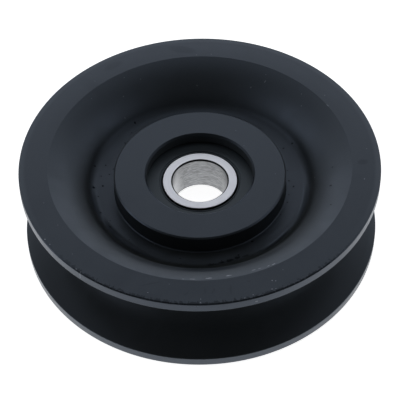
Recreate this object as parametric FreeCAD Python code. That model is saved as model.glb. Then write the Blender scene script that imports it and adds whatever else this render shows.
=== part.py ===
import FreeCAD, Part
import math
import os

# A grooved pulley that turns on a sealed ball bearing. Sizes are in millimetres.
# It lies on one flange. Z is the axis that it turns about, and the origin is the middle of the bore.

# Rim: two equal flanges with a round-bottomed groove between them
rim_radius = 65.0
rim_width = 34.5
flange_edge = 3.6
flange_edge_round = 0.7
groove_edge_round = 0.3
groove_depth = 18.5
groove_half_angle = 18.0

# Sides: a flat facing round the rim, then a dish that flares down to the web
facing_width = 10.3
dish_slope_at_facing = 18.0
dish_flare_radius = 24.7
dish_foot_round = 5.0
web_thickness = 7.8

# Hub: holds the bearing between a lip on top and a retaining ring below
hub_wall = 7.7
hub_edge_chamfer = 0.5
hub_foot_round = 0.6
lip_thickness = 4.1
lip_overlap = 4.1
lip_chamfer = 0.6
seat_entry_chamfer = 0.6
hub_wall_below_ring = 2.95

# Bearing: sizes that its rings and balls are stacked up from, outwards from the bore
bore_diameter = 20.0
race_wall = 2.761
ball_diameter = 7.938
ball_count = 8
race_clearance = 0.02
inner_race_radius = 4.088
outer_race_radius = 4.167
inner_shoulder_height = 1.64
outer_shoulder_height = 1.49
ring_corner_round = 1.0
seal_land_wall = 3.55
seal_land_depth = 2.1

# Ball cage: two pressed ribbon halves, riveted between the balls
cage_sheet = 0.8
pocket_clearance = 0.1
cage_side_clearance = 0.45
rivet_radius = 0.55
rivet_fit = 0.02
rivet_head_radius = 1.05
rivet_head_height = 0.5

# Rubber seals: each snaps into the outer ring and ends in a bead beside the inner ring
seal_thickness = 1.1
seal_recess = 0.45
seal_cage_gap = 0.581
seal_snap_depth = 1.2
seal_snap_height = 0.8
seal_snap_lip = 0.55
seal_fit = 0.05
seal_lip_gap = 0.5
seal_bead_width = 0.5
seal_bead_drop = 0.06
seal_bead_round = 0.15
seal_channel_width = 0.4
seal_channel_depth = 0.25

# Retaining ring: an open spring ring with two drilled lugs
retainer_thickness = 1.75
retainer_groove_depth = 1.25
retainer_side_play = 0.1
retainer_fit = 0.05
retainer_wide = 4.2
retainer_narrow = 2.6
retainer_gap = 7.0
retainer_gap_angle = -90.0
lug_radius = 3.0
lug_hole_radius = 1.25
lug_hole_inset = 4.0
lug_gap_wall = 1.4

# Radii and heights that follow from those sizes
half_rim = rim_width / 2
half_web = web_thickness / 2
ball_radius = ball_diameter / 2
bore_radius = bore_diameter / 2
inner_race_bottom = bore_radius + race_wall
pitch_radius = inner_race_bottom + race_clearance + ball_radius
outer_race_bottom = pitch_radius + ball_radius + race_clearance
bearing_radius = outer_race_bottom + race_wall
inner_shoulder_radius = inner_race_bottom + inner_shoulder_height
outer_shoulder_radius = outer_race_bottom - outer_shoulder_height
seal_land_radius = bore_radius + seal_land_wall
pocket_radius = ball_radius + pocket_clearance
cage_height = pocket_radius + cage_sheet
seal_bottom = cage_height + seal_cage_gap
seal_top = seal_bottom + seal_thickness
half_bearing = seal_top + seal_recess
hub_radius = bearing_radius + hub_wall
hub_top = half_bearing + lip_thickness
retainer_groove_height = retainer_thickness + retainer_side_play
hub_bottom = -(half_bearing + retainer_groove_height + hub_wall_below_ring)
mouth_radius = bearing_radius - lip_overlap
retainer_groove_radius = bearing_radius + retainer_groove_depth
full_turn = 360.0
clear_of_part = rim_radius

axis_point = FreeCAD.Vector(0, 0, 0)
axis_direction = FreeCAD.Vector(0, 0, 1)


def at(radius, height):
    """A point of a section: its distance from the axis and its height."""
    return FreeCAD.Vector(radius, 0, height)


def arc_about(centre, start, end):
    """The short arc from start to end about a centre."""
    middle = (start - centre + end - centre).normalize()
    return Part.Arc(start, centre + middle * (start - centre).Length, end).toShape()


def outline(corners):
    """Edges of an open run of corners. A corner given as (point, radius) is rounded."""
    corners = [corner if isinstance(corner, tuple) else (corner, 0) for corner in corners]
    edges = []
    here = corners[0][0]
    for number in range(1, len(corners)):
        corner, radius = corners[number]
        if not radius:
            edges.append(Part.makeLine(here, corner))
            here = corner
            continue
        back = (corners[number - 1][0] - corner).normalize()
        ahead = (corners[number + 1][0] - corner).normalize()
        half_corner = back.getAngle(ahead) / 2
        start = corner + back * (radius / math.tan(half_corner))
        end = corner + ahead * (radius / math.tan(half_corner))
        centre = corner + (back + ahead).normalize() * (radius / math.sin(half_corner))
        edges.append(Part.makeLine(here, start))
        edges.append(arc_about(centre, start, end))
        here = end
    return edges


def turned(edges):
    """The solid that a closed section makes when it is turned about the axis."""
    face = Part.Face(Part.Wire(edges))
    return face.revolve(axis_point, axis_direction, full_turn)


def turned_outline(corners):
    """The same for a run of corners that closes on its first corner."""
    return turned(outline(corners + [corners[0]]))


def tube(inner, outer, bottom, top):
    """A plain ring with square edges."""
    return turned_outline([at(inner, bottom), at(outer, bottom), at(outer, top), at(inner, top)])


def mirrored(shape):
    """The shape as it would be on the other side of the middle plane."""
    return shape.mirror(axis_point, axis_direction)


def around(shape, angle):
    """A copy of the shape, turned about the axis."""
    copy = shape.copy()
    copy.rotate(axis_point, axis_direction, angle)
    return copy


def half_rim_section():
    """Edges of the rim's upper half: groove, flange edge, facing, dish and foot."""
    slope = math.radians(groove_half_angle)
    half_mouth = half_rim - flange_edge
    bottom_radius = rim_radius - groove_depth
    round_radius = half_mouth * math.cos(slope) - groove_depth * math.sin(slope)
    round_radius = round_radius / (1 - math.sin(slope))
    round_centre = at(bottom_radius + round_radius, 0)
    bottom = at(bottom_radius, 0)
    wall_foot = round_centre + at(-math.sin(slope), math.cos(slope)) * round_radius

    fall = math.radians(dish_slope_at_facing)
    crease = at(rim_radius - facing_width, half_rim)
    flare_centre = crease + at(math.sin(fall), -math.cos(fall)) * dish_flare_radius
    foot_height = half_web + dish_foot_round
    reach = dish_flare_radius + dish_foot_round
    inward = math.sqrt(reach ** 2 - (foot_height - flare_centre.z) ** 2)
    foot_centre = at(flare_centre.x - inward, foot_height)
    foot_start = flare_centre + (foot_centre - flare_centre) * (dish_flare_radius / reach)
    foot_end = at(foot_centre.x, half_web)

    flange = outline([
        wall_foot,
        (at(rim_radius, half_mouth), groove_edge_round),
        (at(rim_radius, half_rim), flange_edge_round),
        crease,
    ])
    return [
        arc_about(round_centre, bottom, wall_foot),
        *flange,
        arc_about(flare_centre, crease, foot_start),
        arc_about(foot_centre, foot_start, foot_end),
        *outline([foot_end, at(foot_end.x, 0), bottom]),
    ]


def hub_blank():
    """The hub before it is bored, with a small round where it meets the web."""
    foot_radius = hub_radius + 2 * hub_foot_round
    return turned_outline([
        at(0, hub_bottom),
        at(hub_radius - hub_edge_chamfer, hub_bottom),
        at(hub_radius, hub_bottom + hub_edge_chamfer),
        (at(hub_radius, -half_web), hub_foot_round),
        at(foot_radius, -half_web),
        at(foot_radius, half_web),
        (at(hub_radius, half_web), hub_foot_round),
        at(hub_radius, hub_top - hub_edge_chamfer),
        at(hub_radius - hub_edge_chamfer, hub_top),
        at(0, hub_top),
    ])


def hub_cavity():
    """What is bored out of the hub: the mouth through the lip, the bearing's seat and the ring's groove."""
    groove_bottom = -(half_bearing + retainer_groove_height)
    return turned_outline([
        at(0, hub_bottom),
        at(bearing_radius + seat_entry_chamfer, hub_bottom),
        at(bearing_radius, hub_bottom + seat_entry_chamfer),
        at(bearing_radius, groove_bottom),
        at(retainer_groove_radius, groove_bottom),
        at(retainer_groove_radius, -half_bearing),
        at(bearing_radius, -half_bearing),
        at(bearing_radius, half_bearing),
        at(mouth_radius, half_bearing),
        at(mouth_radius, hub_top - lip_chamfer),
        at(mouth_radius + lip_chamfer, hub_top),
        at(0, hub_top),
    ])


def sheave():
    """The cast and turned wheel, one piece."""
    upper_rim = turned(half_rim_section())
    web = Part.makeCylinder(rim_radius - groove_depth, web_thickness, at(0, -half_web), axis_direction)
    blank = upper_rim.multiFuse([mirrored(upper_rim), web, hub_blank()])
    return blank.removeSplitter().cut(hub_cavity())


def bearing_inner_ring():
    """The ring that stays with the pin, with a raceway outside and a land beside each seal."""
    shoulder = half_bearing - seal_land_depth
    blank = turned_outline([
        at(bore_radius, 0),
        (at(bore_radius, -half_bearing), ring_corner_round),
        at(seal_land_radius, -half_bearing),
        at(seal_land_radius, -shoulder),
        at(inner_shoulder_radius, -shoulder),
        at(inner_shoulder_radius, shoulder),
        at(seal_land_radius, shoulder),
        at(seal_land_radius, half_bearing),
        (at(bore_radius, half_bearing), ring_corner_round),
    ])
    return blank.cut(Part.makeTorus(inner_race_bottom + inner_race_radius, inner_race_radius))


def bearing_outer_ring():
    """The ring that turns with the hub, with a raceway inside and a groove for each seal."""
    snap_radius = outer_shoulder_radius + seal_snap_depth
    lip_radius = snap_radius - seal_snap_lip
    snap_top = seal_bottom + seal_snap_height + seal_fit
    blank = turned_outline([
        at(bearing_radius, 0),
        (at(bearing_radius, half_bearing), ring_corner_round),
        at(lip_radius, half_bearing),
        at(lip_radius, snap_top),
        at(snap_radius, snap_top),
        at(snap_radius, seal_bottom),
        at(outer_shoulder_radius, seal_bottom),
        at(outer_shoulder_radius, -seal_bottom),
        at(snap_radius, -seal_bottom),
        at(snap_radius, -snap_top),
        at(lip_radius, -snap_top),
        at(lip_radius, -half_bearing),
        (at(bearing_radius, -half_bearing), ring_corner_round),
    ])
    return blank.cut(Part.makeTorus(outer_race_bottom - outer_race_radius, outer_race_radius))


def upper_seal():
    """A rubber disc: snap edge outside, flat face, then a channel and a bead at the inner edge."""
    edge_radius = outer_shoulder_radius + seal_snap_depth - seal_fit
    disc_radius = edge_radius - seal_snap_lip
    bead_inside = seal_land_radius + seal_lip_gap
    bead_outside = bead_inside + seal_bead_width
    channel_outside = bead_outside + seal_channel_width
    bead_top = seal_top - seal_bead_drop
    channel_bottom = seal_top - seal_channel_depth
    return turned_outline([
        at(edge_radius, seal_bottom),
        at(edge_radius, seal_bottom + seal_snap_height),
        at(disc_radius, seal_bottom + seal_snap_height),
        at(disc_radius, seal_top),
        at(channel_outside, seal_top),
        at(channel_outside, channel_bottom),
        at(bead_outside, channel_bottom),
        (at(bead_outside, bead_top), seal_bead_round),
        (at(bead_inside, bead_top), seal_bead_round),
        at(bead_inside, seal_bottom),
    ])


def ball_angles():
    """Where the balls stand round the bearing, with one ball on the X axis."""
    return [full_turn * number / ball_count for number in range(ball_count)]


def rivet_angles():
    """The rivets stand midway between the balls."""
    return [angle + full_turn / ball_count / 2 for angle in ball_angles()]


def ball(angle):
    """One ball in the raceway."""
    return around(Part.makeSphere(ball_radius, at(pitch_radius, 0)), angle)


def upper_cage_half():
    """A pressed ribbon: flat between the balls, domed over each one, and holed for the rivets."""
    inner = inner_shoulder_radius + cage_side_clearance
    outer = outer_shoulder_radius - cage_side_clearance
    dome = Part.makeSphere(cage_height, at(pitch_radius, 0))
    pocket = Part.makeSphere(pocket_radius, at(pitch_radius, 0))
    hole = Part.makeCylinder(rivet_radius + rivet_fit, cage_sheet, at(pitch_radius, 0), axis_direction)
    domes = [around(dome, angle).common(tube(inner, outer, 0, cage_height)) for angle in ball_angles()]
    ribbon = tube(inner, outer, 0, cage_sheet).multiFuse(domes)
    openings = [around(pocket, angle) for angle in ball_angles()]
    openings += [around(hole, angle) for angle in rivet_angles()]
    return ribbon.cut(openings)


def cage_rivets():
    """A rivet between each pair of balls, with a domed head on both sides of the cage."""
    cap_radius = (rivet_head_radius ** 2 + rivet_head_height ** 2) / (2 * rivet_head_height)
    head_top = cage_sheet + rivet_head_height
    cap_centre = at(0, head_top - cap_radius)
    rim = at(rivet_head_radius, cage_sheet)
    half_section = [
        *outline([at(0, 0), at(rivet_radius, 0), at(rivet_radius, cage_sheet), rim]),
        arc_about(cap_centre, rim, at(0, head_top)),
        *outline([at(0, head_top), at(0, 0)]),
    ]
    upper = turned(half_section)
    rivet = upper.fuse(mirrored(upper)).removeSplitter()
    rivet.translate(at(pitch_radius, 0))
    return Part.makeCompound([around(rivet, angle) for angle in rivet_angles()])


def retaining_ring():
    """An eccentric spring ring in the hub's groove, open between its two lugs."""
    outer = retainer_groove_radius - retainer_fit
    inner = outer - (retainer_wide + retainer_narrow) / 2
    shift = (retainer_wide - retainer_narrow) / 2
    foot = -half_bearing - retainer_thickness
    lug_circle = outer - lug_hole_inset
    lug_offset = retainer_gap / 2 + lug_gap_wall + lug_hole_radius
    lug_angle = math.degrees(math.asin(lug_offset / lug_circle))

    def disc(radius, distance):
        return Part.makeCylinder(radius, retainer_thickness, at(distance, foot), axis_direction)

    whole = disc(outer, 0)
    band = whole.cut(disc(inner, shift))
    lugs = [around(disc(lug_radius, lug_circle), side * lug_angle) for side in (-1, 1)]
    holes = [around(disc(lug_hole_radius, lug_circle), side * lug_angle) for side in (-1, 1)]
    gap_corner = FreeCAD.Vector(0, -retainer_gap / 2, foot)
    gap = Part.makeBox(clear_of_part, retainer_gap, retainer_thickness, gap_corner)
    ring = band.multiFuse(lugs).common(whole).cut([gap, *holes]).removeSplitter()
    return around(ring, retainer_gap_angle)


def export(name, shape):
    """Writes one piece, after making sure that it is sound."""
    if not shape.isValid():
        raise ValueError(f"{name} is not a valid shape")
    shape.exportStep(f"parts/{name}.step")
    print(f"{name}: {len(shape.Solids)} solid, {shape.Volume:.1f} mm3")


os.makedirs("parts", exist_ok=True)
print(f"bearing {bore_diameter:.2f} x {2 * bearing_radius:.2f} x {2 * half_bearing:.2f}")

export("sheave", sheave())
export("bearing_inner_ring", bearing_inner_ring())
export("bearing_outer_ring", bearing_outer_ring())
export("seal_upper", upper_seal())
export("seal_lower", mirrored(upper_seal()))
export("cage_upper_half", upper_cage_half())
export("cage_lower_half", mirrored(upper_cage_half()))
export("cage_rivets", cage_rivets())
export("retaining_ring", retaining_ring())
for number, angle in enumerate(ball_angles(), start=1):
    export(f"ball_{number}", ball(angle))
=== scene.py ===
# %% [markdown]
# A black grooved pulley that turns on a sealed ball bearing
#
# The real object is a cast iron wheel. It was turned on a lathe, coated in satin black, and fitted with a
# bought bearing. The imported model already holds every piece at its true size, so this lesson loads that
# model as a fixed frame and then works on the looks: what shows is turned again with fine edges and its
# small marks, and each piece gets a finish made of shader nodes. Nothing from the frame is moved.

# %% Load the frame and keep its box
import math

import bmesh
import bpy
from mathutils import Matrix, Vector


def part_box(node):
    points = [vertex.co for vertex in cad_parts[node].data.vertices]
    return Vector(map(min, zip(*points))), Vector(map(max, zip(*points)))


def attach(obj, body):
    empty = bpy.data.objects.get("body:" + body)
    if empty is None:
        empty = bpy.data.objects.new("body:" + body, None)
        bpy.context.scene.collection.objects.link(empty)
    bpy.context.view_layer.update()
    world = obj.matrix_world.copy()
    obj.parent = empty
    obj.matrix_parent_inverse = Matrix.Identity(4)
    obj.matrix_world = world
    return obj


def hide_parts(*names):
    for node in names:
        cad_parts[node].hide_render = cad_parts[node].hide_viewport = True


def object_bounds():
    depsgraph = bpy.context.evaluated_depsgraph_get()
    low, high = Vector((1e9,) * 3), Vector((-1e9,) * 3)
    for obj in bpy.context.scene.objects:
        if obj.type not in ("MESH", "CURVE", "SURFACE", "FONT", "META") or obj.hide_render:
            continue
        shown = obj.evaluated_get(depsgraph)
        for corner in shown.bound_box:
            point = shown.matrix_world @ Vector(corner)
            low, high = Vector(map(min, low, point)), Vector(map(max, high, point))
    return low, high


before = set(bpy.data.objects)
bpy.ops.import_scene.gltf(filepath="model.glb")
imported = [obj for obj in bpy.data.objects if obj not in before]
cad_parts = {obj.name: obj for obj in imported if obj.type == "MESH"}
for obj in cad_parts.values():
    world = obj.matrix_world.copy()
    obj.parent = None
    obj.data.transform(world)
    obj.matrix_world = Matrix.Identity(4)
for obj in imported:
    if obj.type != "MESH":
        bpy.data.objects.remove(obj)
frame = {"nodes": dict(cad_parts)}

cad_box = [list(corner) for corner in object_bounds()]
print("nodes:", ", ".join(frame["nodes"]))
print("box in mm:", [[round(1000 * value, 2) for value in corner] for corner in cad_box])

# %% [markdown]
# Sizes of the wheel
#
# Blender works in metres here, because the frame does. The outer sizes are read from the frame's boxes, so
# the new wheel lands exactly where the solid is. The rest are the lathe's own sizes: how wide the flat
# facing is, how deep the groove goes, how the dish flares. They are written once, in millimetres times MM,
# so that a reader can compare them with a drawing.

# %% Read and name the sizes
MM = 0.001
rim_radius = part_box("sheave")[1].y
half_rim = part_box("sheave")[1].z
bearing_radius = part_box("bearing_outer_ring")[1].y
half_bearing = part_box("bearing_outer_ring")[1].z

flange_edge = 3.6 * MM
flange_edge_round = 0.7 * MM
worn_edge_round = 0.45 * MM
groove_edge_round = 0.15 * MM
groove_depth = 18.5 * MM
groove_half_angle = math.radians(18)
facing_width = 10.3 * MM
dish_slope_at_facing = math.radians(18)
dish_flare_radius = 24.7 * MM
dish_foot_round = 5.0 * MM
half_web = 3.9 * MM
hub_radius = bearing_radius + 7.7 * MM
hub_edge_chamfer = 0.5 * MM
hub_foot_round = 0.6 * MM
hub_top = half_bearing + 4.1 * MM
mouth_radius = bearing_radius - 4.1 * MM
lip_chamfer = 0.6 * MM
retainer_groove_radius = bearing_radius + 1.25 * MM
retainer_groove_bottom = -half_bearing - 1.85 * MM
hub_bottom = retainer_groove_bottom - 2.95 * MM
print(f"rim {2 * rim_radius / MM:.2f} mm across, {2 * half_rim / MM:.2f} mm wide")

# %% [markdown]
# A pen that draws a section with operators
#
# A turned part is one half section, spun about the axis. The section could be typed in as a list of points,
# but a hand would draw it: start from one vertex, extrude it along the straight runs, and spin it round the
# centre of each arc. The pen below does that in edit mode. It starts from a small plane whose corners are
# merged into one vertex, and it keeps that vertex selected, because extrude and spin act on the selection.
# In a section, X is the distance from the axis and Z is the height.

# %% Define the section pen
class SectionPen:
    """Draws a section in the XZ plane of a new object, from one vertex."""

    merge_distance = 0.001 * MM

    def __init__(self, name, radius, height):
        bpy.ops.object.select_all(action="DESELECT")
        bpy.ops.mesh.primitive_plane_add(size=MM, location=(radius, 0, height))
        self.piece = bpy.context.object
        self.piece.name = name
        bpy.ops.object.transform_apply(location=True, rotation=True, scale=True)
        bpy.ops.object.mode_set(mode="EDIT")
        bpy.ops.mesh.select_mode(type="VERT")
        bpy.ops.mesh.merge(type="CENTER")
        self.here = Vector((radius, 0, height))

    def pick(self, radius, height):
        """Selects the vertex that is at this place, and returns the directions of its edges."""
        place = Vector((radius, 0, height))
        bpy.ops.mesh.select_all(action="DESELECT")
        mesh = bmesh.from_edit_mesh(self.piece.data)
        nearest = min(mesh.verts, key=lambda vertex: (vertex.co - place).length)
        nearest.select = True
        mesh.select_flush_mode()
        bmesh.update_edit_mesh(self.piece.data)
        self.here = nearest.co.copy()
        return [edge.other_vert(nearest).co - nearest.co for edge in nearest.link_edges]

    def line_to(self, radius, height):
        """Extrudes the vertex in a straight line."""
        place = Vector((radius, 0, height))
        bpy.ops.mesh.extrude_region_move(TRANSFORM_OT_translate={"value": place - self.here})
        self.here = place

    def arc_to(self, centre, radius, height, steps):
        """Spins the vertex about a centre, the short way, to the given place."""
        middle = Vector((centre[0], 0, centre[1]))
        start = self.here - middle
        end = Vector((radius, 0, height)) - middle
        turn = math.atan2(end.z, end.x) - math.atan2(start.z, start.x)
        turn = (turn + math.pi) % math.tau - math.pi
        bpy.ops.mesh.spin(steps=steps, angle=turn, center=middle, axis=(0, 1, 0))
        self.here = Vector((radius, 0, height))

    def round_corner(self, radius, height, rounding, steps):
        """Bevels the corner at this place to an arc of the given radius."""
        first, second = self.pick(radius, height)
        reach = rounding / math.tan(first.angle(second) / 2)
        bpy.ops.mesh.bevel(
            offset_type="OFFSET", offset=reach, segments=steps, affect="VERTICES", profile=0.5
        )

    def turn(self, steps):
        """Spins the section about the axis, closes the seams and points the faces outwards."""
        bpy.ops.mesh.select_all(action="SELECT")
        bpy.ops.mesh.remove_doubles(threshold=self.merge_distance)
        bpy.ops.mesh.spin(steps=steps, angle=math.tau, center=(0, 0, 0), axis=(0, 0, 1))
        bpy.ops.mesh.select_all(action="SELECT")
        bpy.ops.mesh.remove_doubles(threshold=self.merge_distance)
        bpy.ops.mesh.normals_make_consistent(inside=False)
        bpy.ops.object.mode_set(mode="OBJECT")
        return self.piece


print("pen ready: it merges points closer than", SectionPen.merge_distance / MM, "mm")

# %% [markdown]
# The wheel's section
#
# The groove has straight walls that lean 18 degrees outwards and a round bottom that meets them without a
# corner. From the flange's edge, a flat facing runs inwards to a crisp crease, and there the dish starts: a
# large arc that falls towards the web and ends in a small round. The hub stands on the web, with a lip that
# covers the bearing on top. Both sides of the rim are alike, so one function draws either of them.

# %% Draw the rim's two sides
groove_bottom = rim_radius - groove_depth
half_mouth = half_rim - flange_edge
groove_round = half_mouth * math.cos(groove_half_angle) - groove_depth * math.sin(groove_half_angle)
groove_round /= 1 - math.sin(groove_half_angle)
groove_centre = groove_bottom + groove_round
wall_foot = (
    groove_centre - groove_round * math.sin(groove_half_angle),
    groove_round * math.cos(groove_half_angle),
)
crease_radius = rim_radius - facing_width
flare_centre = (
    crease_radius + dish_flare_radius * math.sin(dish_slope_at_facing),
    half_rim - dish_flare_radius * math.cos(dish_slope_at_facing),
)
foot_height = half_web + dish_foot_round
flare_reach = dish_flare_radius + dish_foot_round
floor_edge = flare_centre[0] - math.sqrt(flare_reach ** 2 - (foot_height - flare_centre[1]) ** 2)
foot_share = dish_flare_radius / flare_reach
foot_start = (
    flare_centre[0] + foot_share * (floor_edge - flare_centre[0]),
    flare_centre[1] + foot_share * (foot_height - flare_centre[1]),
)


def draw_rim_side(pen, side):
    """Draws the groove, flange and dish of one side, from the groove's bottom to the hub's foot."""
    pen.pick(groove_bottom, 0)
    pen.arc_to((groove_centre, 0), wall_foot[0], side * wall_foot[1], steps=20)
    pen.line_to(rim_radius, side * half_mouth)
    pen.line_to(rim_radius, side * half_rim)
    pen.line_to(crease_radius, side * half_rim)
    pen.arc_to((flare_centre[0], side * flare_centre[1]), foot_start[0], side * foot_start[1], steps=24)
    pen.arc_to((floor_edge, side * foot_height), floor_edge, side * half_web, steps=10)
    pen.line_to(hub_radius, side * half_web)


pen = SectionPen("wheel", groove_bottom, 0)
draw_rim_side(pen, 1)
draw_rim_side(pen, -1)
print("section so far:", len(bmesh.from_edit_mesh(pen.piece.data).verts), "vertices")

# %% [markdown]
# The hub's section
#
# The hub's run starts at its upper foot, goes over the lip and down the bearing's seat, and comes back to
# its lower foot round the groove for the retaining ring. Its corners are drawn sharp. A real casting that
# was turned and coated has no sharp corner, so each corner that shows is then rounded with a vertex bevel.
# A bevel of one step is a chamfer, which the hub has on both ends.

# %% Draw the hub and round the corners
pen.pick(hub_radius, half_web)
for radius, height in (
    (hub_radius, hub_top),
    (mouth_radius + lip_chamfer, hub_top),
    (mouth_radius, hub_top - lip_chamfer),
    (mouth_radius, half_bearing),
    (bearing_radius, half_bearing),
    (bearing_radius, -half_bearing),
    (retainer_groove_radius, -half_bearing),
    (retainer_groove_radius, retainer_groove_bottom),
    (bearing_radius, retainer_groove_bottom),
    (bearing_radius, hub_bottom + lip_chamfer),
    (bearing_radius + lip_chamfer, hub_bottom),
    (hub_radius, hub_bottom),
    (hub_radius, -half_web),
):
    pen.line_to(radius, height)
bpy.ops.mesh.select_all(action="SELECT")
bpy.ops.mesh.remove_doubles(threshold=pen.merge_distance)
for side, edge_round in ((1, worn_edge_round), (-1, flange_edge_round)):
    pen.round_corner(rim_radius, side * half_mouth, groove_edge_round, steps=6)
    pen.round_corner(rim_radius, side * half_rim, edge_round, steps=8)
    pen.round_corner(hub_radius, side * half_web, hub_foot_round, steps=6)
for height in (hub_top, hub_bottom):
    pen.round_corner(hub_radius, height, hub_edge_chamfer, steps=1)
print("whole section:", len(bmesh.from_edit_mesh(pen.piece.data).verts), "vertices")

# %% [markdown]
# Spin the section into the wheel
#
# Spin works like the lathe: it turns the section about Z. Enough steps keep the rim round in a close view.
# In front the upper edge has small nicks, because the pulley was handled most there. They could be a bump
# in the material, but then the edge would still be smooth against a pale background. So a Displace modifier
# pushes the edge's vertices inwards, by as much as a cloud texture says. Its mid level is 0, so that nothing
# is pushed outwards. A vertex group holds its share: full in the middle of the rounded edge, nothing where
# the edge meets the facing and the land, and nothing behind.

# %% Turn the wheel and nick its edge
wheel_steps = 480
nick_depth = 0.6 * MM
nick_size = 0.7 * MM
wear_start, wear_full = -34 * MM, -52 * MM
wheel = pen.turn(wheel_steps)

edge_group = wheel.vertex_groups.new(name="worn_edge")
for vertex in wheel.data.vertices:
    outwards = math.hypot(vertex.co.x, vertex.co.y) - (rim_radius - worn_edge_round)
    upwards = vertex.co.z - (half_rim - worn_edge_round)
    if outwards > 0 and upwards > 0:
        share = math.sin(2 * math.atan2(upwards, outwards))
        share *= min(1, max(0, (vertex.co.y - wear_start) / (wear_full - wear_start)))
        edge_group.add([vertex.index], share, "REPLACE")

nick_texture = bpy.data.textures.new("nicks", "CLOUDS")
nick_texture.noise_scale = nick_size
wear = wheel.modifiers.new("nicks", "DISPLACE")
wear.texture = nick_texture
wear.texture_coords = "LOCAL"
wear.vertex_group = edge_group.name
wear.mid_level = 0.0
wear.strength = -nick_depth
bpy.ops.object.modifier_apply(modifier=wear.name)
print("nicked up to", nick_depth / MM, "mm deep")

# %% [markdown]
# Shade the wheel and let it take the solid's place
#
# Smooth shading would bend the light across the wide flat faces, from one rounded edge to the next. So
# shading stays smooth only across small angles, and a Weighted Normal modifier lets the wide faces keep
# their own direction while the narrow rounded edges take up the turn. The bearing's pieces need the same,
# so it is a function. It also hides the solid that the new piece stands for and hangs the piece on the
# body that carries it.

# %% Shade and place the wheel
def take_place(piece, node, body, smooth_angle):
    """Shades a turned piece, and puts it in the place of a node of the frame."""
    bpy.ops.object.shade_smooth_by_angle(angle=smooth_angle)
    flat_faces = piece.modifiers.new("flat faces stay flat", "WEIGHTED_NORMAL")
    flat_faces.keep_sharp = True
    bpy.ops.object.modifier_apply(modifier=flat_faces.name)
    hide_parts(node)
    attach(piece, body)
    print(f"{piece.name}: {len(piece.data.polygons)} faces")


take_place(wheel, "sheave", "wheel", smooth_angle=math.radians(13))

# %% [markdown]
# The bearing's inner ring
#
# The inner ring is the bright piece in the middle, and it doesn't turn with the wheel. Its face and bore
# are ground. The chamfer between them isn't, and it is painted dark, partly as painted shade, so it shows as
# a thin line round the bore.
# Outside it has the balls' raceway, which the seals hide. The ring is turned from a section like the wheel.

# %% Turn the inner ring
bearing_steps = 192
bore_radius = 10 * MM
bore_chamfer = 0.55 * MM
ring_face_radius = 13.55 * MM
ring_face_chamfer = 0.15 * MM
ring_shoulder_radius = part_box("bearing_inner_ring")[1].y
ring_shoulder = half_bearing - 2.1 * MM
race_radius = 4.088 * MM
race_centre = 12.761 * MM + race_radius
race_edge = math.sqrt(race_radius ** 2 - (race_centre - ring_shoulder_radius) ** 2)


def draw_ring_side(pen, side):
    """Draws the bore, face and land of one side, from the middle of the bore to the raceway's edge."""
    pen.pick(bore_radius, 0)
    for radius, height in (
        (bore_radius, half_bearing - bore_chamfer),
        (bore_radius + bore_chamfer, half_bearing),
        (ring_face_radius - ring_face_chamfer, half_bearing),
        (ring_face_radius, half_bearing - ring_face_chamfer),
        (ring_face_radius, ring_shoulder),
        (ring_shoulder_radius, ring_shoulder),
        (ring_shoulder_radius, race_edge),
    ):
        pen.line_to(radius, side * height)


ring_pen = SectionPen("inner_ring_turned", bore_radius, 0)
draw_ring_side(ring_pen, 1)
draw_ring_side(ring_pen, -1)
ring_pen.arc_to((race_centre, 0), ring_shoulder_radius, race_edge, steps=16)
inner_ring = ring_pen.turn(bearing_steps)
take_place(inner_ring, "bearing_inner_ring", "inner_ring", smooth_angle=math.radians(20))

# %% [markdown]
# The rubber seals
#
# A seal is a moulded disc. Its outer edge snaps into the outer ring, and beside the inner ring it ends in a
# small round bead, with a narrow channel behind it that lets the bead flex. The channel and the bead show
# as fine rings, so their corners are rounded as a mould rounds them. The lower seal is the same one, upside
# down.

# %% Turn the seals
seal_bottom, seal_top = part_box("seal_upper")[0].z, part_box("seal_upper")[1].z
seal_edge_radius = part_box("seal_upper")[1].y
seal_disc_radius = seal_edge_radius - 0.55 * MM
seal_snap_top = seal_bottom + 0.8 * MM
bead_inside = ring_face_radius + 0.5 * MM
bead_outside = bead_inside + 0.5 * MM
bead_top = seal_top - 0.06 * MM
bead_round = 0.2 * MM
channel_outside = bead_outside + 0.4 * MM
channel_bottom = seal_top - 0.25 * MM
channel_round = 0.1 * MM


def turn_seal(name, side):
    """Draws a seal's section, rounds the corners that show, and turns it."""
    pen = SectionPen(name, seal_edge_radius, side * seal_bottom)
    for radius, height in (
        (seal_edge_radius, seal_snap_top),
        (seal_disc_radius, seal_snap_top),
        (seal_disc_radius, seal_top),
        (channel_outside, seal_top),
        (channel_outside, channel_bottom),
        (bead_outside, channel_bottom),
        (bead_outside, bead_top),
        (bead_inside, bead_top),
        (bead_inside, seal_bottom),
        (seal_edge_radius, seal_bottom),
    ):
        pen.line_to(radius, side * height)
    bpy.ops.mesh.select_all(action="SELECT")
    bpy.ops.mesh.remove_doubles(threshold=pen.merge_distance)
    pen.round_corner(channel_outside, side * seal_top, channel_round, steps=4)
    pen.round_corner(bead_outside, side * bead_top, bead_round, steps=5)
    pen.round_corner(bead_inside, side * bead_top, bead_round, steps=5)
    return pen.turn(bearing_steps)


seals = {}
for node, side in (("seal_upper", 1), ("seal_lower", -1)):
    seals[node] = turn_seal(node + "_moulded", side)
    take_place(seals[node], node, "wheel", smooth_angle=math.radians(25))

# %% [markdown]
# A way to write shader maths
#
# A finish varies over its surface: a scuff here, a duller patch there. In the shader editor that means many
# Math nodes and links. Here a small class wraps a socket and overloads Python's operators, so that an
# expression such as 1 - mask adds the Math node by itself. Every other node comes from one method, which
# sets the node's settings first and then fills or links its sockets.

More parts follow.
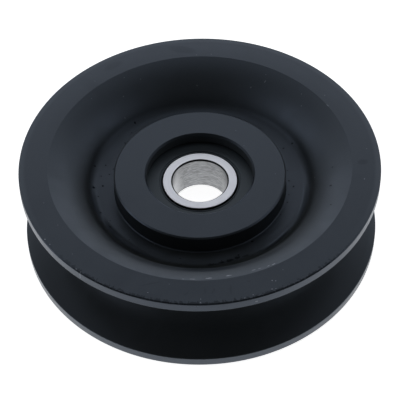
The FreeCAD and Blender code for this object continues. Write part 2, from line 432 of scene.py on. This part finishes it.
# %% Define values and finishes
class Value:
    """A number that varies over a surface, as the output of a node."""

    def __init__(self, finish, socket):
        self.finish = finish
        self.socket = socket

    def maths(self, operation, *others):
        """Adds a Math node with this value first, and returns its result."""
        sockets = dict(enumerate((self, *others)))
        return self.finish.node("ShaderNodeMath", {"operation": operation}, sockets)

    def __add__(self, other):
        return self.maths("ADD", other)

    def __sub__(self, other):
        return self.maths("SUBTRACT", other)

    def __rsub__(self, other):
        return self.maths("MULTIPLY_ADD", -1, other)

    def __mul__(self, other):
        return self.maths("MULTIPLY", other)

    def __truediv__(self, other):
        return self.maths("DIVIDE", other)

    def __pow__(self, other):
        return self.maths("POWER", other)

    __radd__ = __add__
    __rmul__ = __mul__

    def above(self, low, high):
        """0 below low, 1 above high, and a smooth rise between them. With low over high, it falls."""
        start, end, bottom, top = (low, high, 0, 1) if low < high else (high, low, 1, 0)
        sockets = {"Value": self, "From Min": start, "From Max": end, "To Min": bottom, "To Max": top}
        return self.finish.node("ShaderNodeMapRange", {"interpolation_type": "SMOOTHSTEP"}, sockets)

    def near(self, centre, reach):
        """1 at the centre, falling smoothly to 0 at the given distance from it."""
        return (self - centre).maths("ABSOLUTE").above(reach, 0)


class Finish:
    """A material, built from nodes, for one kind of surface on the pulley."""

    def __init__(self, name):
        self.material = bpy.data.materials.new(name)
        self.material.use_nodes = True
        self.tree = self.material.node_tree
        self.shader = self.tree.nodes["Principled BSDF"]

    def node(self, kind, settings=None, sockets=None, output=0):
        """Adds a node, sets its settings, then fills or links its sockets."""
        made = self.tree.nodes.new(kind)
        for name, setting in (settings or {}).items():
            setattr(made, name, setting)
        for name, content in (sockets or {}).items():
            self.fill(made.inputs[name], content)
        return Value(self, made.outputs[output])

    def fill(self, socket, content):
        """Links a socket to a Value, or sets it to a plain number, colour or vector."""
        if isinstance(content, Value):
            self.tree.links.new(content.socket, socket)
        else:
            socket.default_value = content

    def surface(self, **sockets):
        """Fills sockets of the shader. An underscore stands for a space in a socket's name."""
        for name, content in sockets.items():
            self.fill(self.shader.inputs[name.replace("_", " ")], content)

    def place(self):
        """The point's X, Y and Z on the piece, in metres."""
        point = self.node("ShaderNodeTexCoord", output="Object")
        return [self.node("ShaderNodeSeparateXYZ", sockets={0: point}, output=axis) for axis in "XYZ"]

    def point(self, x, y, z):
        """Three values as one vector."""
        return self.node("ShaderNodeCombineXYZ", sockets={"X": x, "Y": y, "Z": z})

    def noise(self, vector, scale, detail=2.0, distortion=0.0):
        """Cloudy noise from about 0 to 1, with its mean near a half."""
        sockets = {"Vector": vector, "Scale": scale, "Detail": detail, "Distortion": distortion}
        return self.node("ShaderNodeTexNoise", sockets=sockets)

    def blend(self, amount, low, high):
        """A colour between two colours."""
        sockets = {0: amount, 6: low, 7: high}
        return self.node("ShaderNodeMix", {"data_type": "RGBA"}, sockets, output=2)

    def bump(self, height, distance):
        """A Bump node. The height is in units of the given distance."""
        return self.node("ShaderNodeBump", sockets={"Height": height, "Distance": distance, "Strength": 1.0})


def wear_finish(piece, finish):
    """Puts a finish on a piece in place of what it has."""
    piece.data.materials.clear()
    piece.data.materials.append(finish.material)


print("ready: values with operators, and finishes")

# %% [markdown]
# Masks for small marks
#
# A mark is a mask: a value that is 1 on the mark and 0 off it. A texture can scatter marks by chance, and
# for a little dust that is enough: a Voronoi texture has one point in each cell, and near the point is the
# speck. But the marks that a viewer would remember have a place of their own. So three more helpers turn
# lists of places into masks: dots and strokes at an X and Y, and arcs at an angle round the axis and a
# radius.

# %% Define dots, strokes, arcs and specks
def spot(along, across, half_length, half_width):
    """A mask of one oval, from the distances to its middle. Its half sizes are in millimetres."""
    along = along / (half_length * MM)
    across = across / (half_width * MM)
    return (along * along + across * across).above(1, 0.2)


def dots(x, y, places):
    """Round spots. Each has an X, a Y and a radius."""
    mask = 0
    for middle_x, middle_y, size in places:
        mask = mask + spot(x - middle_x * MM, y - middle_y * MM, size, size)
    return mask


def strokes(x, y, places):
    """Straight marks. Each has an X, a Y, a direction, a half length, a half width and a strength."""
    mask = 0
    for middle_x, middle_y, direction, half_length, half_width, strength in places:
        along_x, along_y = math.cos(math.radians(direction)), math.sin(math.radians(direction))
        from_x, from_y = x - middle_x * MM, y - middle_y * MM
        along = from_x * along_x + from_y * along_y
        across = from_y * along_x - from_x * along_y
        mask = mask + strength * spot(along, across, half_length, half_width)
    return mask


def arcs(azimuth, radius, places):
    """Marks round the axis. Each has an angle, a radius, a half length, a half width and a strength."""
    mask = 0
    for angle, middle_radius, half_length, half_width, strength in places:
        along = (azimuth - math.radians(angle)) * (middle_radius * MM)
        mask = mask + strength * spot(along, radius - middle_radius * MM, half_length, half_width)
    return mask


def specks(finish, point, spacing, size, share):
    """Small round spots seen from above, one in each of a share of a texture's cells."""
    cells = {"Vector": point, "Scale": 1 / spacing}
    settings = {"voronoi_dimensions": "2D", "feature": "F1"}
    distance = finish.node("ShaderNodeTexVoronoi", settings, cells, output="Distance")
    colour = finish.node("ShaderNodeTexVoronoi", settings, cells, output="Color")
    lot = finish.node("ShaderNodeSeparateColor", sockets={0: colour}, output="Red")
    drawn = lot.above(1 - share, 1.001 - share)
    return drawn * (distance * spacing / (size * (0.4 + 0.6 * lot))).above(1, 0.5)


print("marks: dots, strokes, arcs and specks")

# %% [markdown]
# Where the marks are
#
# The crease and the edge of the facing have lost flecks of coat, most of them in front, where the pulley
# was set down or levered. The casting has small pits on the web, beside the hub. In front, painted shade
# runs along the foot of the dish, and beside it a painted highlight lies along the web's edge. Painted shade
# also lies low on the dish in front and in the corner between web and dish. Each list is short, in
# millimetres and degrees, so a reader can move a mark. What the numbers mean is said at the helper that
# takes the list. The nick in the flange's land has an angle, a height, a half length and a half width.

# %% List the marks
crease_chips = (
    (-96.5, 54.1, 0.9, 0.25, 0.5),
    (-93.5, 53.9, 1.2, 0.25, 0.6),
    (-87.7, 53.5, 1.4, 0.35, 1.0),
    (-80.3, 53.2, 1.2, 0.35, 0.9),
    (-70.9, 53.2, 0.9, 0.28, 0.5),
    (-68.7, 53.4, 0.7, 0.25, 0.4),
    (-65.3, 53.7, 0.6, 0.28, 0.6),
    (-63.4, 53.9, 0.9, 0.30, 0.8),
)
facing_chips = (
    (-53.8, -35.0, 0.30),
    (-52.0, -37.3, 0.20),
    (-42.5, -48.5, 0.30),
    (-18.3, -59.3, 0.20),
    (-0.7, -62.6, 0.18),
    (-0.8, -64.0, 0.22),
    (14.0, -62.6, 0.22),
    (16.8, -61.3, 0.20),
    (23.4, -55.4, 0.25),
    (24.6, -55.6, 0.20),
    (23.2, -59.1, 0.30),
    (24.5, -58.9, 0.18),
    (58.3, -10.5, 0.22),
)
light_strokes = (
    (-41.2, -50.0, 55, 0.8, 0.20, 1.0),
    (25.5, 42.5, 45, 0.6, 0.22, 0.4),
    (47.9, 26.7, -50, 0.8, 0.20, 0.5),
)
dust_dots = (
    (-28.1, 37.9, 0.28),
    (-39.8, 34.1, 0.24),
    (-21.6, 45.1, 0.24),
    (20.1, 41.8, 0.30),
    (25.9, 45.0, 0.20),
    (38.7, 34.2, 0.24),
    (47.2, 32.0, 0.28),
    (41.7, -0.3, 0.28),
    (13.7, 20.8, 0.24),
)
pit_dots = (
    (-24.1, 31.9, 0.50),
    (-27.8, 22.5, 0.40),
    (-38.9, 0.1, 0.60),
    (-35.7, 1.1, 0.50),
    (-31.9, 9.4, 0.35),
    (-36.4, 6.0, 0.35),
    (-38.6, 10.1, 0.40),
    (-37.1, -4.1, 0.35),
    (-33.4, 6.8, 0.30),
    (-34.8, 11.4, 0.30),
    (31.4, 17.9, 0.40),
    (34.7, 19.3, 0.45),
    (32.3, 6.5, 0.30),
    (32.5, 1.5, 0.40),
    (34.0, -1.4, 0.40),
    (31.4, -9.0, 0.40),
    (47.7, -1.4, 0.30),
    (46.5, -10.1, 0.48),
    (45.6, -20.6, 0.35),
    (17.9, -27.0, 0.50),
    (12.9, -33.0, 0.45),
)
# Painted shade: dark arcs along the foot of the dish in front, and one low on the dish.
front_foot_shade_arcs = (
    (-92.0, 46.4, 3.2, 0.6, 0.2),
    (-84.0, 37.2, 3.0, 0.5, 0.6),
    (-79.0, 36.9, 1.4, 0.6, 1.0),
    (-74.5, 36.8, 1.9, 0.6, 1.0),
    (-70.0, 36.4, 1.3, 0.7, 1.0),
    (-65.5, 36.9, 1.6, 0.4, 0.8),
    (-57.0, 37.6, 2.2, 0.35, 0.5),
)
# Painted shade: arcs in the corner between web and dish, and a wide one low on the dish in front.
corner_shade_arcs = (
    (-90.0, 46.5, 40.0, 3.0, 0.3),
    (-87.0, 46.5, 14.0, 2.6, 0.22),
    (-168.0, 38.8, 9.0, 1.2, 0.25),
    (-136.0, 37.6, 16.0, 1.8, 0.38),
    (-133.0, 43.2, 10.0, 3.0, 0.33),
    (-46.0, 38.3, 9.0, 0.8, 0.45),
    (-14.0, 38.8, 10.0, 1.0, 0.25),
)
# Painted highlights: light arcs along the web's edge in front, and on the web beside it.
highlight_arcs = (
    (-44.0, 37.3, 7.0, 0.35, 0.5),
    (-12.0, 37.7, 10.0, 0.30, 0.3),
    (-42.0, 34.8, 5.0, 0.60, 0.2),
    (-38.0, 33.1, 4.0, 0.45, 0.15),
)
scratch_strokes = (
    (-17.4, -55.6, 11, 4.8, 0.28, 0.5),
    (-5.3, -60.0, 41, 1.5, 0.28, 0.4),
    (0.8, -59.2, -80, 1.6, 0.35, 0.35),
    (3.6, -59.3, 70, 1.5, 0.35, 0.4),
    (9.4, -58.8, 90, 2.5, 0.40, 0.4),
    (15.6, -55.4, 20, 0.9, 0.50, 0.35),
    (58.5, -2.3, 10, 2.4, 1.5, 0.5),
    (-5.7, 58.7, -15, 6.5, 2.4, 0.4),
    (-32.0, 50.6, 35, 5.0, 2.0, 0.3),
    (-40.5, 40.5, -45, 8.0, 3.0, 0.15),
)
strip_nicks = ((-74.0, 15.1, 0.6, 0.35),)
chips = len(crease_chips) + len(facing_chips)
print(chips, "chips,", len(pit_dots), "pits,", len(scratch_strokes), "scratches")

# %% [markdown]
# The black coat
#
# The wheel is coated all over in a thin satin black. It is so dark that nearly all the light that comes
# back is gloss: the facing shows the bright studio behind, the hub's wall shows the dark dish in front of
# it, and the flanges' narrow edges show the white floor. So the base colour is close to black, with a
# little blue, and what matters is the roughness. Painted maps could hold all this, but the wheel is round
# and plain, so formulas on a point's place do as well and stay sharp in a close view.
#
# The coat takes five cells. The first one makes what the others use: the distance from the axis, the angle
# round it, the height, and noise. Slow noise makes the coat a little duller in places, and fine noise gives
# it grain. The angle is 0 at the right and -90 degrees in front. It jumps by a full turn at the back, where
# no mark lies.

# %% Start the black coat
coat = Finish("satin_black_coat")
x, y, z = coat.place()
point = coat.point(x, y, z)
radius = (x * x + y * y) ** 0.5
azimuth = x.maths("ARCTAN2", -1 * y) - math.pi / 2
height = z.maths("ABSOLUTE")

cloud = coat.noise(point, scale=45, detail=3)
stains = coat.noise(point, scale=95, detail=5, distortion=1.5)
grain = coat.noise(point, scale=2400)
lumps = coat.noise(point, scale=1300, detail=4)
lathe_lines = coat.noise(coat.point(radius, z, 0), scale=1500)
print("coat started:", len(coat.tree.nodes), "nodes")

# %% [markdown]
# Zones of the wheel
#
# Facing and hub were turned before they were coated, so they are smoother than the dish and the web, which
# are as they were cast. The narrow land round each flange is worn, and its lower and upper halves get masks
# of their own, for a painted reflection of the floor below and painted shade above. The lip's chamfer gets a
# mask for painted shade. Each zone could be a group of faces with a material of its own, but then every
# border would be hard. Masks can be soft, and one material holds them all. Most of them need only the
# distance from the axis and the height, because the wheel is round. A cone that runs inside both flanges
# parts the wheel's two sides from the groove.

# %% Mask the zones
soft = 0.1 * MM
flange_cone_slope = 0.124
flange_cone_height = 6.5 * MM

facing = radius.above(crease_radius - soft, crease_radius + soft)
hub_face = radius.above(hub_radius + soft, hub_radius - soft)
hub_face = hub_face * height.above(hub_top - 3 * soft, hub_top - soft)
cast = 1 - facing.maths("MAXIMUM", hub_face)
web = radius.above(floor_edge + 6 * MM, floor_edge + 3 * MM) * (1 - hub_face)
# Painted shade: the lip's chamfer is painted darker below, so that it shows no highlight.
lip = radius.above(mouth_radius + 1.1 * lip_chamfer, mouth_radius + 0.9 * lip_chamfer)
lip = lip * z.above(hub_top - 1.1 * lip_chamfer, hub_top - 0.9 * lip_chamfer)
land = radius.above(rim_radius - 0.30 * MM, rim_radius - 0.05 * MM)
# The lower land is painted lighter, as a painted reflection of the floor, and the upper land darker, as
# painted shade.
lit_lower_land = land * z.above(0, -1 * MM)
shaded_upper_land = land - lit_lower_land
inside = radius.above(groove_bottom, groove_bottom - 3 * soft)
side = (height - flange_cone_slope * radius).above(flange_cone_height - soft, flange_cone_height + soft)
side = side.maths("MAXIMUM", inside)
upper_side = side * z.above(0, 1 * MM)
groove = 1 - side.maths("MAXIMUM", land)
print("zones: facing, hub face, web, lip, two lands, sides and groove")

# %% [markdown]
# How use has changed the coat, and where shade is painted
#
# The front half of the web is greasy. Grease fills the grain, so the web shines there and mirrors the dark
# wall of the hub. The front of the web is also painted darker, as painted shade from the hub, and the groove
# is painted darker as painted shade. Behind, the coat is thin along the rim and dull further in. Painted
# shade is laid in the corner between web and dish, left and right of the hub. And along the front of the
# facing the coat has broken away at the edge, in small dark teeth. All but the teeth are wide and soft, so
# each is a zone times a slow fall along X or Y.

# %% Mask the changes from use and the painted shade
corner_radius = 39.3 * MM
corner_half_width = 1.9 * MM
corner_drift = 0.085

front_web = web * y.above(16 * MM, -4 * MM)
# Painted shade: the front of the web is painted darker, as the hub's shade, more on the left.
web_front_shade = front_web * (0.06 + 0.08 * x.above(-10 * MM, -34 * MM))
# Painted shade: the groove is painted darker, more on the left.
groove_shade = groove * (0.27 + 0.12 * x.above(-40 * MM, -58 * MM))
thin_rim = facing * y.above(-40 * MM, -10 * MM)
thin_rim = thin_rim * radius.above(rim_radius - 2.8 * MM, rim_radius - 1.2 * MM)
dull_rim = facing * y.above(0, 30 * MM) * radius.above(rim_radius - 3 * MM, crease_radius)
# Painted shade: a band in the corner between web and dish, left and right of the hub.
corner_shade_band = (radius - corner_drift * y).near(corner_radius, corner_half_width)
corner_shade_band = corner_shade_band * y.above(-34 * MM, -14 * MM) * y.above(24 * MM, 12 * MM)
teeth = coat.noise(coat.point(azimuth * rim_radius, radius * 0.5, 0), scale=1200, detail=3)
seam = (radius + (teeth - 0.5) * 6 * MM).above(rim_radius - 1.1 * MM, rim_radius - 0.7 * MM)
seam = seam * z.above(half_rim - 0.5 * MM, half_rim - 0.3 * MM) * y.above(wear_start, wear_full)
print("use: grease, painted_shade, thin and dull rim, settled dirt and a torn edge")

# %% [markdown]
# Marks on the coat
#
# Now the lists of places become masks. A mark with a clean outline looks drawn, so the place that is looked
# up is shifted a little by noise, and the outline looks torn. Most lists hold an X and a Y, or an angle and
# a radius, but no height, so each mark would show on the lower side too. The mask of the upper side keeps
# it off there. Small pits come with the casting and can be on either side, so a texture scatters some more.

# %% Mask the marks
torn = lumps.above(0.35, 0.5)
torn_x, torn_y = x + (lumps - 0.5) * 1.2 * MM, y + (grain - 0.5) * 0.8 * MM
pitted = radius.above(floor_edge + 2 * MM, floor_edge + 1 * MM)
pitted = pitted * radius.above(hub_radius + 0.5 * MM, hub_radius + 1 * MM)
pits = 0.5 * pitted * specks(coat, point, spacing=3.6 * MM, size=0.40 * MM, share=0.12)
pits = pits + 0.8 * dots(torn_x, torn_y, pit_dots) * upper_side
# Painted shade along the foot of the dish in front.
front_foot_shade = arcs(azimuth, radius + (lumps - 0.5) * 2 * MM, front_foot_shade_arcs) * upper_side
# Painted shade in the corner between web and dish, and low on the dish in front.
corner_and_dish_shade = (arcs(azimuth, radius, corner_shade_arcs) + 0.42 * corner_shade_band) * upper_side
scratches = strokes(torn_x, torn_y, scratch_strokes) * upper_side
# Painted highlight along the web's edge in front.
painted_highlight = arcs(azimuth, radius, highlight_arcs) * upper_side * (0.5 + torn)
dust = specks(coat, point, spacing=5.5 * MM, size=0.24 * MM, share=0.05) + dots(x, y, dust_dots)
dust = dust * upper_side * radius.above(rim_radius - 0.7 * MM, rim_radius - 1.2 * MM)
missing = arcs(azimuth, radius, crease_chips) * torn
missing = (missing + dots(x, y, facing_chips) + strokes(x, y, light_strokes)) * upper_side
for angle, middle_height, half_length, half_width in strip_nicks:
    along = (azimuth - math.radians(angle)) * rim_radius
    missing = missing + land * spot(along, z - middle_height * MM, half_length, half_width)
print("masks so far:", len(coat.tree.nodes), "nodes")

# %% [markdown]
# Colour and gloss of the coat
#
# The colour is built in layers: the mottled black first, then where it is worn, thin or dusty, then bare
# iron where it is missing, and black over all. The lands are painted lighter than wear makes them, the lower
# one most, as a painted reflection of the floor, and the upper one a little darker, as painted shade. A
# painted highlight lies along the web's edge in front. Pits are black because they trap the light. The
# black over all is also painted shade: on the front of the web, in the groove, on the lip's chamfer, in the
# corner between web and dish and low on the dish in front. A dark base colour alone would still shine like
# the coat beside it. A black metal reflects nothing, so there the Metallic value goes up as well.

# %% Mix the black coat
# The black here is partly painted shade: the foot of the dish, the corner, the front of the web, the lip's
# chamfer, the upper land and the groove. The rest is pits, scratches, the torn edge and the dull rim.
dark = pits + 0.7 * front_foot_shade + corner_and_dish_shade + web_front_shade + 0.35 * scratches + 0.45 * seam + 0.5 * lip
dark = dark + 0.12 * dull_rim + 0.08 * shaded_upper_land + groove_shade
dark = dark.maths("MINIMUM", 1)

mottle = grain + 0.6 * (stains - 0.5) + 0.25 * cast
# The lands are worn, and they are also painted lighter than the wear makes them, as a painted reflection of
# the floor.
wear_and_sheen = land * (0.33 + 0.45 * (lathe_lines - 0.5))
black = coat.blend(mottle, (0.0112, 0.0124, 0.0116, 1), (0.0222, 0.0245, 0.0232, 1))
for amount, colour in (
    (wear_and_sheen, (0.053, 0.067, 0.079, 1)),
    # painted reflection of the floor on the lower land
    (0.55 * lit_lower_land, (0.17, 0.19, 0.20, 1)),
    (0.3 * thin_rim, (0.09, 0.10, 0.11, 1)),
    (0.45 * groove, (0.053, 0.055, 0.049, 1)),
    # painted highlight along the web's edge
    (0.25 * painted_highlight, (0.16, 0.20, 0.28, 1)),
    (0.6 * dust, (0.16, 0.17, 0.18, 1)),
    (missing.maths("MINIMUM", 1), (0.27, 0.28, 0.31, 1)),
    (dark, (0.002, 0.002, 0.002, 1)),
):
    black = coat.blend(amount, black, colour)

relief = grain + 0.5 * lathe_lines + 5 * seam * lumps - 20 * pits
dullness = 0.07 * cast - 0.15 * front_web + 0.10 * (cloud - 0.5) + 0.22 * (stains - 0.5)
dullness = dullness + 0.1 * seam - 0.12 * land
coat.surface(
    Base_Color=black,
    Metallic=dark,
    Roughness=0.43 + dullness,
    IOR=1.684,
    Specular_Tint=(0.594, 0.732, 1.0, 1),
    Normal=coat.bump(relief, distance=0.004 * MM),
)
wear_finish(wheel, coat)
print("coated:", wheel.name, "with", len(coat.tree.nodes), "nodes")

# %% [markdown]
# Ground bearing steel
#
# A bearing's rings are ground, not cut: the wheel leaves very fine lines that run round the ring, on its
# face and in its bore. Steel is a metal, so its colour is the colour of its reflection, and the lines show
# as small changes in roughness and in the surface's tilt. The bore is greyer than the face and has short
# brushed streaks, where a pin was pushed in and out, and one side of it is painted brighter, as a painted
# highlight. The chamfer between face and bore and the ring's outer side were never ground, so they keep the
# black scale of the hardening. Their black also stands for the shade in the narrow gap and the dark that the
# chamfer reflects, so it is partly painted shade.

# %% Mix the ground steel
def ground_steel():
    """Bright ground steel with fine lines round the axis, greyer and brushed in the bore."""
    steel = Finish("ground_bearing_steel")
    x, y, z = steel.place()
    radius = (x * x + y * y) ** 0.5
    around = y.maths("ARCTAN2", x) * bore_radius
    height = z.maths("ABSOLUTE")

    bore = radius.above(bore_radius + 0.08 * MM, bore_radius + 0.02 * MM)
    chamfer = radius.above(bore_radius + bore_chamfer, bore_radius + 0.9 * bore_chamfer) * (1 - bore)
    chamfer = chamfer * height.above(half_bearing - bore_chamfer, half_bearing - 0.9 * bore_chamfer)
    # Painted highlight: the bore's left side is painted brighter.
    painted_highlight = x.above(-0.6 * bore_radius, -0.95 * bore_radius)
    # The ring's outer side, in the narrow gap by the seal, is painted black, partly as painted shade.
    side = radius.above(ring_face_radius - 0.06 * MM, ring_face_radius - 0.02 * MM)
    lines = steel.noise(steel.point(radius, z, around * 0.02), scale=3000, detail=3)
    streaks = steel.noise(steel.point(radius, z * 6, around), scale=560, detail=3)
    bright = steel.blend(lines, (0.72, 0.73, 0.82, 1), (0.95, 0.96, 1.0, 1))
    grey = steel.blend(streaks.above(0.25, 0.75), (0.20, 0.205, 0.21, 1), (0.42, 0.43, 0.445, 1))
    grey = steel.blend(painted_highlight * 0.6, grey, (0.72, 0.73, 0.75, 1))
    colour = steel.blend(bore, bright, grey)
    steel.surface(
        Base_Color=steel.blend(chamfer + side, colour, (0.02, 0.02, 0.02, 1)),
        Metallic=1.0,
        Roughness=0.26 + 0.14 * streaks + 0.10 * lines + 0.2 * chamfer,
        Normal=steel.bump(lines + 0.4 * streaks, distance=0.006 * MM),
    )
    return steel


bearing_steel = ground_steel()
for piece in (inner_ring, frame["nodes"]["bearing_outer_ring"]):
    wear_finish(piece, bearing_steel)
print("ground: both bearing rings")

# %% [markdown]
# Rubber seals
#
# Each seal is a moulded rubber disc. Moulded rubber is dull and a little grey, with a fine skin from the
# mould. It is much rougher than the coat beside it, so it shows no clear reflection.

# %% Mix the seal rubber
def seal_rubber():
    """Dull black moulded rubber."""
    rubber = Finish("moulded_seal_rubber")
    x, y, z = rubber.place()
    point = rubber.point(x, y, z)
    cloud = rubber.noise(point, scale=160, detail=3)
    skin = rubber.noise(point, scale=5000)
    rubber.surface(
        Base_Color=rubber.blend(cloud, (0.0065, 0.0078, 0.0085, 1), (0.0100, 0.0118, 0.0128, 1)),
        Roughness=0.50 + 0.10 * (cloud - 0.5),
        IOR=1.69,
        Specular_Tint=(0.70, 0.84, 1.0, 1),
        Normal=rubber.bump(skin, distance=0.004 * MM),
    )
    return rubber


rubber = seal_rubber()
for seal in seals.values():
    wear_finish(seal, rubber)
print("rubber: both seals")

# %% [markdown]
# Steel inside the bearing and in the retaining ring
#
# These pieces are hidden or seen only from below, but each still has the finish of the real one. Balls are
# lapped until they shine like a mirror. The cage is pressed from bright sheet, with faint draw marks. The
# retaining ring is spring steel that was treated until it is dull and dark.

# %% Mix the other steels
def lapped_ball_steel():
    """Mirror-bright steel with hardly a mark."""
    steel = Finish("lapped_ball_steel")
    haze = steel.noise(steel.point(*steel.place()), scale=600, detail=3)
    steel.surface(
        Base_Color=steel.blend(haze, (0.66, 0.67, 0.68, 1), (0.74, 0.75, 0.76, 1)),
        Metallic=1.0,
        Roughness=0.05 + 0.05 * haze,
    )
    return steel


def pressed_cage_steel():
    """Soft bright sheet with the marks of the press."""
    steel = Finish("pressed_cage_steel")
    x, y, z = steel.place()
    marks = steel.noise(steel.point(x, y, z * 6), scale=900, detail=3)
    steel.surface(
        Base_Color=steel.blend(marks, (0.42, 0.42, 0.41, 1), (0.58, 0.58, 0.57, 1)),
        Metallic=1.0,
        Roughness=0.26 + 0.20 * marks,
        Normal=steel.bump(marks, distance=0.006 * MM),
    )
    return steel


def dark_spring_steel():
    """Spring steel, dulled and darkened by its rust-proofing."""
    steel = Finish("dark_spring_steel")
    point = steel.point(*steel.place())
    cloud = steel.noise(point, scale=220, detail=4)
    crystals = steel.noise(point, scale=6000)
    steel.surface(
        Base_Color=steel.blend(cloud, (0.018, 0.018, 0.019, 1), (0.040, 0.040, 0.041, 1)),
        Metallic=0.4,
        Roughness=0.48 + 0.14 * cloud,
        Normal=steel.bump(crystals, distance=0.004 * MM),
    )
    return steel


ball_steel = lapped_ball_steel()
cage_steel = pressed_cage_steel()
for name, node in frame["nodes"].items():
    if name.startswith("ball_"):
        wear_finish(node, ball_steel)
    elif name.startswith("cage_"):
        wear_finish(node, cage_steel)
wear_finish(frame["nodes"]["retaining_ring"], dark_spring_steel())
print("finished: balls, cage and retaining ring")

# %% [markdown]
# A white floor
#
# The pulley lies on a white sheet that is lit until it is plain white. The floor is white and diffuse, so
# it takes the pulley's shadow, and it glows for rays that come from the camera or from a gloss reflection.
# That way it looks white and is mirrored as white, and the glow adds no diffuse light to the pulley. The
# lamps light the sheet near the pulley, so its mirrored glow falls off further out.

# %% Lay the floor
floor_glow = 0.92
far_glow = 0.2
lit_radius = 0.08
dim_radius = 0.12
floor_size = 6.0
bpy.ops.object.select_all(action="DESELECT")
bpy.ops.mesh.primitive_plane_add(size=floor_size, location=(0, 0, cad_box[0][2]))
floor = bpy.context.object
floor.name = "floor"
bpy.ops.object.transform_apply(location=True, rotation=True, scale=True)

sheet = Finish("white_sheet")
x, y, z = sheet.place()
near = ((x * x + y * y) ** 0.5).above(dim_radius, lit_radius)
seen = sheet.node("ShaderNodeLightPath", output="Is Camera Ray")
mirrored = sheet.node("ShaderNodeLightPath", output="Is Glossy Ray")
mirrored = mirrored + sheet.node("ShaderNodeLightPath", output="Is Transmission Ray")
glow = (seen + mirrored * (far_glow + (1 - far_glow) * near)).maths("MINIMUM", 1)
fibres = sheet.noise(sheet.point(x, y, z), scale=300)
sheet.surface(
    Base_Color=sheet.blend(fibres, (0.78, 0.78, 0.78, 1), (0.82, 0.82, 0.82, 1)),
    Roughness=0.9,
    Specular_IOR_Level=0.0,
    Emission_Color=sheet.blend(glow, (0, 0, 0, 1), (floor_glow, floor_glow, floor_glow, 1)),
    Emission_Strength=1.0,
)
wear_finish(floor, sheet)
print("floor at", round(cad_box[0][2] / MM, 2), "mm")

# %% [markdown]
# Soft studio light
#
# The black faces are bright where they mirror the far side of the studio and dark where they mirror the
# side of the camera. That tells where the lamps are: large soft boxes behind and above the pulley, weaker
# ones at the sides, and little from the front. Each lamp is a wide area light that points at the pulley.

# %% Hang the lamps
lamp_distance = 1.0
lamp_colour = (0.94, 0.97, 1.0)


def soft_box(name, azimuth, elevation, half_width, half_height, level):
    """An area light that looks at the pulley. Azimuth 0 is the camera's side, and 90 is the right.

    Its half sizes are the angles that the pulley sees, and at level 1 its face is as bright as white paper.
    """
    lamp = bpy.data.lights.new(name, "AREA")
    lamp.shape = "RECTANGLE"
    lamp.size = 2 * lamp_distance * math.tan(math.radians(half_width))
    lamp.size_y = 2 * lamp_distance * math.tan(math.radians(half_height))
    lamp.energy = level * math.pi * lamp.size * lamp.size_y
    lamp.color = lamp_colour
    hung = bpy.data.objects.new(name, lamp)
    bpy.context.scene.collection.objects.link(hung)
    along_floor = math.cos(math.radians(elevation))
    away = Vector((
        along_floor * math.sin(math.radians(azimuth)),
        -along_floor * math.cos(math.radians(azimuth)),
        math.sin(math.radians(elevation)),
    ))
    facing = away.to_track_quat("Z", "Y").to_matrix().to_4x4()
    hung.matrix_world = Matrix.Translation(away * lamp_distance) @ facing
    hung.visible_camera = False
    return hung


soft_box("back_low_lamp", azimuth=180, elevation=8, half_width=36, half_height=8, level=1.0)
soft_box("back_high_lamp", azimuth=180, elevation=30, half_width=32, half_height=14, level=1.4)
soft_box("back_left_lamp", azimuth=-130, elevation=18, half_width=20, half_height=17, level=0.64)
soft_box("back_right_lamp", azimuth=130, elevation=18, half_width=20, half_height=17, level=0.71)
soft_box("left_lamp", azimuth=-86, elevation=20, half_width=20, half_height=18, level=1.36)
soft_box("right_lamp", azimuth=86, elevation=20, half_width=20, half_height=18, level=0.9)
soft_box("top_lamp", azimuth=180, elevation=76, half_width=32, half_height=14, level=0.54)

room_level = 0.07
room = bpy.data.worlds.new("room")
room.use_nodes = True
room.node_tree.nodes["Background"].inputs["Color"].default_value = (room_level, room_level, room_level, 1)
bpy.context.scene.world = room
bpy.context.scene.view_settings.view_transform = "Standard"
print("lamps:", ", ".join(lamp.name for lamp in bpy.data.lights))

# %% [markdown]
# The camera
#
# The pulley's circles show as ellipses, and their sizes and places give the camera: how high it looks down
# from, how far it stands, and how long its lens is. It looks along +Y, a little to the side and a little
# turned, as a camera in the hand is. The picture is square, so the sensor's width holds in both directions.

# %% Place the camera
camera_elevation = 0.860884
camera_distance = 583.5 * MM
camera_aim_height = -16.73 * MM
camera_pan = -0.000284
camera_tilt = 0.014690
camera_roll = -0.023759
focal_length_pixels = 1554.57
picture_pixels = 400
sensor_width = 36.0

ahead = Vector((0, math.cos(camera_elevation), -math.sin(camera_elevation)))
right = Vector((1, 0, 0))
up = right.cross(ahead)
stand = Vector((0, 0, camera_aim_height)) - camera_distance * ahead
aim = (ahead + camera_pan * right + camera_tilt * up).normalized()
right = aim.cross(up).normalized()
up = right.cross(aim)
turned_right = math.cos(camera_roll) * right + math.sin(camera_roll) * up
turned_up = math.cos(camera_roll) * up - math.sin(camera_roll) * right

lens = bpy.data.cameras.new("camera")
lens.sensor_width = sensor_width
lens.lens = sensor_width * focal_length_pixels / picture_pixels
camera = bpy.data.objects.new("camera", lens)
bpy.context.scene.collection.objects.link(camera)
facing = Matrix((turned_right, turned_up, -aim)).transposed().to_4x4()
camera.matrix_world = Matrix.Translation(stand) @ facing
bpy.context.scene.camera = camera
print("lens:", round(lens.lens, 1), "mm, camera at", [round(value / MM, 1) for value in stand])
